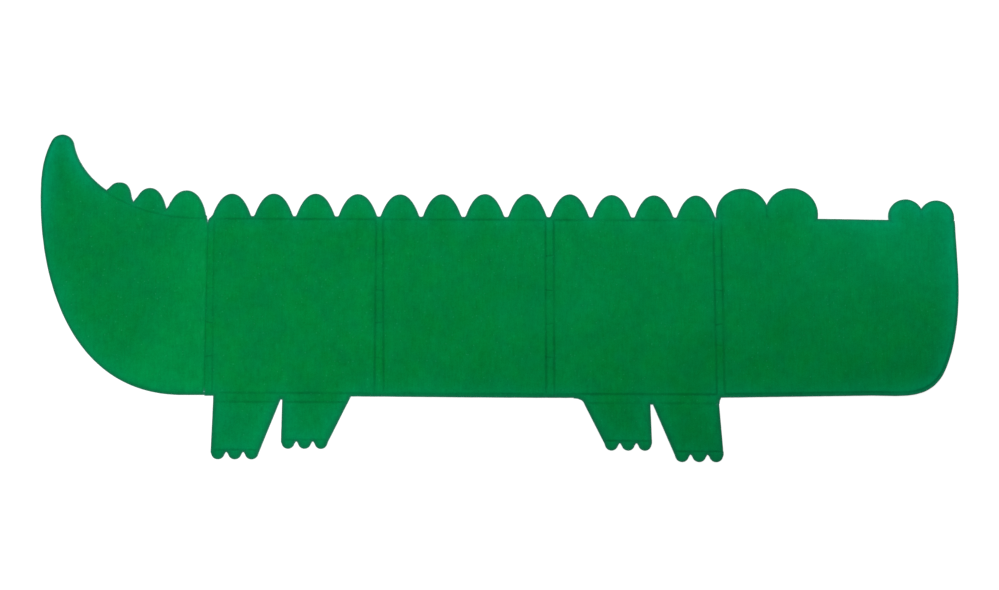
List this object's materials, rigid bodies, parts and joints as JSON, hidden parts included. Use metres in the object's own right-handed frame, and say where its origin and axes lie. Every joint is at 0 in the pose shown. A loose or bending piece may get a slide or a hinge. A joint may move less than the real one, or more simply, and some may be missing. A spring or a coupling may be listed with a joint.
{
  "type": "soft activity board",
  "caption": "Flat crocodile-shaped activity board of green felt over stiff panels, with fabric folds between tail, body, head and legs.",
  "frame": {"origin": "middle of the underside of the open, flat board", "axes": "+X from the tail to the head, +Y from the feet to the spines, +Z out of the front felt"},
  "size_m": [1.1058, 0.3918, 0.0046],
  "materials": {
    "felt": "matte",
    "tail_felt": "matte",
    "grey_board": "matte"
  },
  "bodies": {
    "middle_panel": {"middle_panel_board": "grey_board", "middle_panel_front_felt": "felt", "middle_panel_back_felt": "felt"},
    "rear_fold": {"rear_fold_front_layer": "felt", "rear_fold_back_layer": "felt"},
    "rear_panel": {"rear_panel_board": "grey_board", "rear_panel_front_felt": "felt", "rear_panel_back_felt": "felt"},
    "tail_fold": {"tail_fold_front_layer": "felt", "tail_fold_back_layer": "felt"},
    "tail": {"tail_board": "grey_board", "tail_front_felt": "tail_felt", "tail_back_felt": "tail_felt"},
    "front_fold": {"front_fold_front_layer": "felt", "front_fold_back_layer": "felt"},
    "front_panel": {"front_panel_board": "grey_board", "front_panel_front_felt": "felt", "front_panel_back_felt": "felt"},
    "head_fold": {"head_fold_front_layer": "felt", "head_fold_back_layer": "felt"},
    "head": {"head_board": "grey_board", "head_front_felt": "felt", "head_back_felt": "felt"},
    "rear_outer_leg_fold": {"rear_outer_leg_fold_front_layer": "felt", "rear_outer_leg_fold_back_layer": "felt"},
    "rear_outer_leg": {"rear_outer_leg_board": "grey_board", "rear_outer_leg_front_felt": "felt", "rear_outer_leg_back_felt": "felt"},
    "rear_inner_leg_fold": {"rear_inner_leg_fold_front_layer": "felt", "rear_inner_leg_fold_back_layer": "felt"},
    "rear_inner_leg": {"rear_inner_leg_board": "grey_board", "rear_inner_leg_front_felt": "felt", "rear_inner_leg_back_felt": "felt"},
    "front_inner_leg_fold": {"front_inner_leg_fold_front_layer": "felt", "front_inner_leg_fold_back_layer": "felt"},
    "front_inner_leg": {"front_inner_leg_board": "grey_board", "front_inner_leg_front_felt": "felt", "front_inner_leg_back_felt": "felt"},
    "front_outer_leg_fold": {"front_outer_leg_fold_front_layer": "felt", "front_outer_leg_fold_back_layer": "felt"},
    "front_outer_leg": {"front_outer_leg_board": "grey_board", "front_outer_leg_front_felt": "felt", "front_outer_leg_back_felt": "felt"}
  },
  "joints": [
    {"name": "rear_fold_near_crease", "type": "hinge", "parent": "middle_panel", "child": "rear_fold", "pos_m": [-0.1396, 0, 0.0023], "axis": [0, 1, 0], "range_deg": [-90, 90]},
    {"name": "rear_fold_far_crease", "type": "hinge", "parent": "rear_fold", "child": "rear_panel", "pos_m": [-0.1452, 0, 0.0023], "axis": [0, 1, 0], "range_deg": [-90, 90]},
    {"name": "tail_fold_near_crease", "type": "hinge", "parent": "rear_panel", "child": "tail_fold", "pos_m": [-0.343, 0, 0.0023], "axis": [0, -1, 0], "range_deg": [-90, 90]},
    {"name": "tail_fold_far_crease", "type": "hinge", "parent": "tail_fold", "child": "tail", "pos_m": [-0.3486, 0, 0.0023], "axis": [0, -1, 0], "range_deg": [-90, 90]},
    {"name": "front_fold_near_crease", "type": "hinge", "parent": "middle_panel", "child": "front_fold", "pos_m": [0.0582, 0, 0.0023], "axis": [0, 1, 0], "range_deg": [-90, 90]},
    {"name": "front_fold_far_crease", "type": "hinge", "parent": "front_fold", "child": "front_panel", "pos_m": [0.0638, 0, 0.0023], "axis": [0, 1, 0], "range_deg": [-90, 90]},
    {"name": "head_fold_near_crease", "type": "hinge", "parent": "front_panel", "child": "head_fold", "pos_m": [0.2616, 0, 0.0023], "axis": [0, -1, 0], "range_deg": [-90, 90]},
    {"name": "head_fold_far_crease", "type": "hinge", "parent": "head_fold", "child": "head", "pos_m": [0.2672, 0, 0.0023], "axis": [0, -1, 0], "range_deg": [-90, 90]},
    {"name": "rear_outer_leg_near_crease", "type": "hinge", "parent": "rear_panel", "child": "rear_outer_leg_fold", "pos_m": [-0.3, -0.11845, 0.0023], "axis": [1, 0, 0], "range_deg": [-40, 40]},
    {"name": "rear_outer_leg_far_crease", "type": "hinge", "parent": "rear_outer_leg_fold", "child": "rear_outer_leg", "pos_m": [-0.3, -0.12515, 0.0023], "axis": [1, 0, 0], "range_deg": [-40, 40]},
    {"name": "rear_inner_leg_near_crease", "type": "hinge", "parent": "rear_panel", "child": "rear_inner_leg_fold", "pos_m": [-0.22, -0.11845, 0.0023], "axis": [1, 0, 0], "range_deg": [-40, 40]},
    {"name": "rear_inner_leg_far_crease", "type": "hinge", "parent": "rear_inner_leg_fold", "child": "rear_inner_leg", "pos_m": [-0.22, -0.12515, 0.0023], "axis": [1, 0, 0], "range_deg": [-40, 40]},
    {"name": "front_inner_leg_near_crease", "type": "hinge", "parent": "front_panel", "child": "front_inner_leg_fold", "pos_m": [0.14, -0.11845, 0.0023], "axis": [-1, 0, 0], "range_deg": [-40, 40]},
    {"name": "front_inner_leg_far_crease", "type": "hinge", "parent": "front_inner_leg_fold", "child": "front_inner_leg", "pos_m": [0.14, -0.12515, 0.0023], "axis": [-1, 0, 0], "range_deg": [-40, 40]},
    {"name": "front_outer_leg_near_crease", "type": "hinge", "parent": "front_panel", "child": "front_outer_leg_fold", "pos_m": [0.22, -0.11845, 0.0023], "axis": [-1, 0, 0], "range_deg": [-40, 40]},
    {"name": "front_outer_leg_far_crease", "type": "hinge", "parent": "front_outer_leg_fold", "child": "front_outer_leg", "pos_m": [0.22, -0.12515, 0.0023], "axis": [-1, 0, 0], "range_deg": [-40, 40]}
  ]
}
